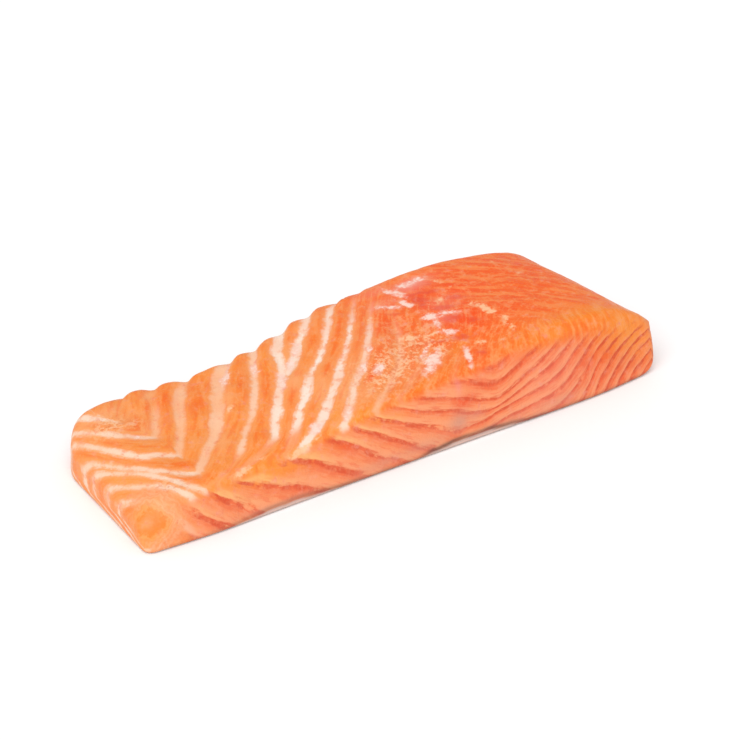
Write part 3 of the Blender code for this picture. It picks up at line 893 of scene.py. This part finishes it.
class Nodes:
    """Makes a material's nodes and links, one call for each step."""

    def __init__(self, tree):
        self.tree = tree

    def add(self, kind, inputs=None, **settings):
        """A node of that kind; inputs are values or the sockets that feed it."""
        made = self.tree.nodes.new("ShaderNode" + kind)
        for name, value in settings.items():
            setattr(made, name, value)
        for name, value in (inputs or {}).items():
            if isinstance(value, bpy.types.NodeSocket):
                self.tree.links.new(value, made.inputs[name])
            else:
                made.inputs[name].default_value = value
        return made

    def math(self, operation, *values):
        """One arithmetic step on one to three values."""
        made = self.add("Math", dict(enumerate(values)), operation=operation)
        return made.outputs[0]

    def vector(self, name):
        """A point attribute, whole."""
        return self.add("Attribute", attribute_name=name, attribute_type="GEOMETRY").outputs["Vector"]

    def parts(self, name):
        """The three numbers of a point attribute."""
        return self.add("SeparateXYZ", {0: self.vector(name)}).outputs

    def noise(self, size, detail=2.0, stretch=None, where=None, roughness=0.55):
        """Uneven noise around 0.5 with features of that size in millimetres."""
        place = where or self.add("TexCoord").outputs["Object"]
        if stretch:
            place = self.add("VectorMath", {0: place, 1: stretch}, operation="MULTIPLY").outputs[0]
        settings = {"Vector": place, "Scale": 1 / (size * MM), "Detail": detail, "Roughness": roughness}
        return self.add("TexNoise", settings).outputs["Fac"]

    def swing(self, value, noise, amount):
        """value plus amount times the noise's swing about its middle."""
        return self.math("MULTIPLY_ADD", self.math("SUBTRACT", noise, 0.5), amount, value)

    def between(self, value, start, end):
        """0 where value is at start and 1 at end, with soft ends."""
        settings = {"Value": value, "From Min": start, "From Max": end}
        made = self.add("MapRange", settings, interpolation_type="SMOOTHSTEP")
        return made.outputs["Result"]

    def mix(self, share, first, second, blend="MIX"):
        """The first colour mixed towards the second by a share."""
        made = self.add("Mix", data_type="RGBA", blend_type=blend)
        for index, value in ((0, share), (6, first), (7, second)):
            if isinstance(value, bpy.types.NodeSocket):
                self.tree.links.new(value, made.inputs[index])
            else:
                made.inputs[index].default_value = value
        return made.outputs[2]

    def ramp(self, value, stops):
        """Colours along a value: stops are places and colours."""
        made = self.add("ValToRGB", {"Fac": value})
        elements = made.color_ramp.elements
        while len(elements) < len(stops):
            elements.new(0.5)
        for element, (place, colour) in zip(elements, stops):
            element.position = place
            element.color = colour
        return made.outputs["Color"]


def flesh_material():
    """Raw salmon: orange flakes between bands of pale fat, redder lines on the cut faces."""
    material = bpy.data.materials.new("salmon flesh")
    material.use_nodes = True
    tree = material.node_tree
    tree.nodes.clear()
    n = Nodes(tree)
    seams = n.parts("seams")
    fat = n.parts("fat")
    sides = n.parts("sides")
    skin = n.parts("skin")
    tints = n.parts("tints")
    smears_and_sheen = n.parts("smears_and_sheen")
    place = n.parts("place")
    flakes = n.parts("flake")
    arms = n.parts("arms")
    soft = n.noise(6.0, 3.0)
    patchy = n.noise(2.6, 3.0)
    grain = n.noise(0.9, 3.0, roughness=0.7)

    top_fibres = n.noise(0.9, 3.0, where=n.vector("along_top"))
    fibrous = n.math("SUBTRACT", 1.0, smears_and_sheen[2])
    face_fibres = n.noise(0.75, 3.0, where=n.vector("along_face"))

    # The flakes of the top, with fibres along the seams.
    flake = n.mix(n.between(place[0], -34.0, 22.0), FLAKE_LEFT, FLAKE_RIGHT)
    # Pale peachy flakes, and in places a painted highlight.
    flake = n.mix(n.math("MULTIPLY", arms[1], 0.75), flake, FLAKE_PEACH_AND_HIGHLIGHT)
    flake = n.mix(n.math("MULTIPLY", flakes[2], 0.9), flake, FLAKE_STRONG)
    flake = n.mix(n.math("MULTIPLY", tints[0], 0.85), flake, FLAKE_DEEP)
    flake = n.mix(n.math("MULTIPLY", tints[1], 0.8), flake, GOLD)
    mottle = n.between(n.swing(patchy, grain, 0.7), 0.42, 0.68)
    flake = n.mix(n.math("MULTIPLY", mottle, 0.42), flake, FLAKE_PALE)
    lighter = n.math("MULTIPLY", n.between(top_fibres, 0.5, 0.64), fibrous)
    deeper = n.math("MULTIPLY", n.between(top_fibres, 0.49, 0.38), fibrous)
    flake = n.mix(n.math("MULTIPLY", lighter, 0.36), flake, FLAKE_PALE)
    flake = n.mix(n.math("MULTIPLY", deeper, 0.26), flake, FLAKE_DEEP)
    # Fat bands between the flakes.
    wandering = n.swing(seams[0], soft, 0.16)
    gap = n.math("MULTIPLY", n.math("PINGPONG", wandering, 0.5), flakes[0])
    gap = n.math("MINIMUM", gap, place[2])
    gap = n.swing(n.swing(n.swing(gap, patchy, 2.0), grain, 0.9), top_fibres, 1.6)
    band = n.between(gap, n.math("ADD", fat[0], 0.8), n.math("SUBTRACT", fat[0], 0.7))
    halo = n.between(gap, n.math("ADD", fat[0], 2.6), fat[0])
    fat_colour = n.mix(fat[1], FAT_PEACH, FAT_WHITE)
    fat_colour = n.mix(n.math("MULTIPLY", n.between(patchy, 0.5, 0.66), 0.5), fat_colour, FAT_PINK)
    halo = n.math("MULTIPLY", n.math("MULTIPLY", halo, flakes[1]), n.math("MULTIPLY_ADD", fat[1], 0.3, 0.3))
    flake = n.mix(halo, flake, FLAKE_PALE)
    top = n.mix(n.math("MULTIPLY", n.math("MULTIPLY", band, flakes[1]), 0.92), flake, fat_colour)
    # Grains of fat.
    specks = n.noise(1.1, 2.0, roughness=0.6)
    grains = n.between(n.swing(n.swing(0.0, specks, 3.8), patchy, 3.2), -0.05, 0.5)
    grains = n.math("MULTIPLY", grains, fat[2])
    top = n.mix(n.math("MULTIPLY", grains, 0.8), top, FAT_PEACH)
    pits = n.math("MULTIPLY", n.between(n.swing(specks, grain, 0.5), 0.45, 0.36), fat[2])
    top = n.mix(n.math("MULTIPLY", pits, 0.6), top, BROWN)
    # Streaks of the thick part.
    streaks = n.noise(1.7, 2.0, stretch=STREAK_STRETCH, where=turned_place(n, STREAK_TURN))
    streak = n.math("MULTIPLY", n.between(streaks, 0.49, 0.62), smears_and_sheen[2])
    top = n.mix(n.math("MULTIPLY", streak, 0.5), top, STREAK_PALE)
    streak = n.math("MULTIPLY", n.between(streaks, 0.48, 0.34), smears_and_sheen[2])
    top = n.mix(n.math("MULTIPLY", streak, 0.42), top, FLAKE_DEEP)

    # The cut faces: fibres along the seams, pale past each seam, darker before the next.
    counted = n.swing(n.swing(seams[1], soft, 0.35), face_fibres, 0.5)
    fraction = n.math("FRACT", counted)
    to_right = n.between(n.math("MULTIPLY_ADD", place[1], 0.9, place[0]), 4.0, 46.0)
    face = n.mix(to_right, FACE_LEFT, FACE_RIGHT)
    later = n.mix(to_right, FACE_LATER_LEFT, FACE_LATER_RIGHT)
    face = n.mix(n.math("MULTIPLY", n.between(fraction, 0.4, 0.95), 0.8), face, later)
    pale = n.math("MULTIPLY", n.between(fraction, 0.02, 0.2), n.between(fraction, 0.6, 0.22))
    face = n.mix(n.math("MULTIPLY", pale, 0.7), face, FACE_PALE)
    face = n.mix(n.math("MULTIPLY", n.between(face_fibres, 0.5, 0.6), 0.45), face, FACE_PALE)
    face = n.mix(n.math("MULTIPLY", n.between(face_fibres, 0.49, 0.37), 0.5), face, later)
    face = n.mix(n.math("MULTIPLY", arms[1], 0.6), face, FACE_PALE)
    face = n.mix(n.math("MULTIPLY", tints[0], 0.8), face, FACE_DEEP)
    face = n.mix(n.math("MULTIPLY", tints[1], 0.8), face, GOLD)
    near_seam = n.between(n.math("PINGPONG", counted, 0.5), 0.22, 0.03)
    dark = n.math("MULTIPLY", near_seam, n.between(n.swing(patchy, soft, 1.0), 0.26, 0.52))
    dark = n.math("MULTIPLY", dark, 0.92)
    face = n.mix(dark, face, n.mix(to_right, SEAM_LEFT, SEAM_RIGHT))
    arm = n.math("MULTIPLY", n.between(fraction, 0.03, 0.16), n.between(fraction, 0.5, 0.2))
    face = n.mix(n.math("MULTIPLY", n.math("MULTIPLY", arm, arms[0]), 0.6), face, ARM)
    face = n.mix(n.math("MULTIPLY", mottle, 0.25), face, FACE_PALE)
    # Dull grey pink low on the front face, partly painted shadow along the foot.
    face = n.mix(n.math("MULTIPLY", skin[1], 0.75), face, DULL_AND_SHADE)

    # The rings round the corner of the thin end, out from its middle.
    reach = n.swing(n.swing(seams[2], soft, 12.0), grain, 2.8)
    ring = n.ramp(n.math("DIVIDE", reach, RING_REACH), RING_STOPS)
    ring = n.mix(n.math("MULTIPLY", mottle, 0.4), ring, FLAKE_PALE)

    colour = n.mix(sides[0], top, face)
    colour = n.mix(skin[2], colour, ring)
    crimson = n.between(n.swing(n.swing(arms[2], patchy, 1.8), grain, 1.2), 0.15, 0.9)
    colour = n.mix(n.math("MULTIPLY", crimson, 0.75), colour, CRIMSON)
    colour = n.mix(n.math("MULTIPLY", tints[2], 0.6), colour, ROSE)
    # Veil and white film follow the smears; where these mark the glistening middle of the top, they are
    # painted highlight.
    veil_and_sheen = n.between(n.swing(smears_and_sheen[0], patchy, 1.6), 0.1, 0.75)
    colour = n.mix(n.math("MULTIPLY", veil_and_sheen, 0.55), colour, VEIL_AND_SHEEN)
    white = n.between(n.swing(n.swing(smears_and_sheen[0], patchy, 2.8), specks, 2.2), 0.25, 1.15)
    white = n.math("MULTIPLY", white, n.between(smears_and_sheen[0], 0.05, 0.45))
    colour = n.mix(n.math("MULTIPLY", white, 0.8), colour, FILM_AND_SHEEN)
    fleck = n.between(n.swing(n.swing(smears_and_sheen[1], patchy, 2.4), specks, 1.8), 0.2, 0.95)
    fleck = n.math("MULTIPLY", fleck, n.between(smears_and_sheen[1], 0.05, 0.45))
    colour = n.mix(n.math("MULTIPLY", fleck, 0.85), colour, FAT_PEACH)
    # At the foot: the pale skin edge, greyed as painted floor shade, and the dark line, partly painted
    # contact shadow.
    colour = n.mix(n.math("MULTIPLY", sides[1], 0.9), colour, SKIN_EDGE_AND_SHADE)
    colour = n.mix(n.math("MULTIPLY", sides[2], 0.85), colour, FOOT_TISSUE_AND_SHADOW)
    colour = n.mix(skin[0], colour, SKIN)

    # Gloss and fine relief.
    damp = n.between(patchy, 0.4, 0.6)
    rough = n.math("MULTIPLY_ADD", damp, 0.2, 0.34)
    height = n.math("MULTIPLY_ADD", band, -0.3, n.math("MULTIPLY", grain, 1.5))
    bump = n.add("Bump", {"Strength": 0.5, "Distance": 0.3 * MM, "Height": height})
    shader = n.add("BsdfPrincipled", {
        "Base Color": colour,
        "Roughness": rough,
        "Normal": bump.outputs[0],
        "Subsurface Weight": 0.0,
        "Specular IOR Level": 0.22,
        "Coat Weight": 0.04,
        "Coat Roughness": 0.22,
    })
    out = n.add("OutputMaterial")
    tree.links.new(shader.outputs[0], out.inputs["Surface"])
    return material


def turned_place(n, degrees):
    """The object's coordinates turned about its upright axis."""
    spot = n.add("TexCoord").outputs["Object"]
    made = n.add("VectorRotate", {"Vector": spot, "Angle": math.radians(degrees)}, rotation_type="Z_AXIS")
    return made.outputs[0]


fillet = build_fillet()
fillet.data.materials.append(flesh_material())
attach(fillet, "root")
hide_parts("fillet")

# ---------------------------------------------------------------- the studio

CAMERA_AZIMUTH = -33.0
CAMERA_ELEVATION = 33.0
CAMERA_TARGET = (0.014484, 0.0192, 0.0)
CAMERA_DISTANCE = 0.8
CAMERA_LENS = 129.25
FLOOR_SIZE = 3.0
FLOOR_GAP = 0.0001


def plain_material(name, colour):
    """One even colour, dull."""
    material = bpy.data.materials.new(name)
    material.use_nodes = True
    shader = material.node_tree.nodes["Principled BSDF"]
    shader.inputs["Base Color"].default_value = colour
    shader.inputs["Roughness"].default_value = 0.9
    return material


def add_floor():
    """A plain pale floor just under the fillet."""
    half = FLOOR_SIZE / 2
    corners = [(-half, -half), (half, -half), (half, half), (-half, half)]
    mesh = bpy.data.meshes.new("floor")
    mesh.from_pydata([(x, y, -FLOOR_GAP) for x, y in corners], [], [(0, 1, 2, 3)])
    floor = bpy.data.objects.new("floor", mesh)
    bpy.context.collection.objects.link(floor)
    mesh.materials.append(plain_material("floor", (0.97, 0.97, 0.97, 1.0)))


def aim(thing, place, target):
    """Put a camera or light at a place, looking at a target."""
    thing.location = place
    thing.rotation_euler = (Vector(target) - Vector(place)).to_track_quat("-Z", "Y").to_euler()
    bpy.context.collection.objects.link(thing)


def add_sun(name, place, softness, strength):
    """An even, soft light shining from a place towards the fillet."""
    data = bpy.data.lights.new(name, "SUN")
    data.angle = math.radians(softness)
    data.energy = strength
    aim(bpy.data.objects.new(name, data), place, (0.0, 0.0, 0.0))


def add_camera():
    """The camera, at the fillet's own viewing angle."""
    azimuth = math.radians(CAMERA_AZIMUTH)
    elevation = math.radians(CAMERA_ELEVATION)
    data = bpy.data.cameras.new("camera")
    data.lens = CAMERA_LENS
    camera = bpy.data.objects.new("camera", data)
    away = Vector((
        math.sin(azimuth) * math.cos(elevation),
        -math.cos(azimuth) * math.cos(elevation),
        math.sin(elevation),
    ))
    aim(camera, Vector(CAMERA_TARGET) + CAMERA_DISTANCE * away, CAMERA_TARGET)
    bpy.context.scene.camera = camera


add_floor()
add_sun("key light", (-0.5, -0.45, 0.9), 60.0, 1.9)
add_camera()
world = bpy.data.worlds.new("studio")
world.use_nodes = True
world.node_tree.nodes["Background"].inputs["Color"].default_value = (1.0, 1.0, 1.0, 1.0)
world.node_tree.nodes["Background"].inputs["Strength"].default_value = 0.62
bpy.context.scene.world = world
bpy.context.scene.view_settings.view_transform = "Standard"
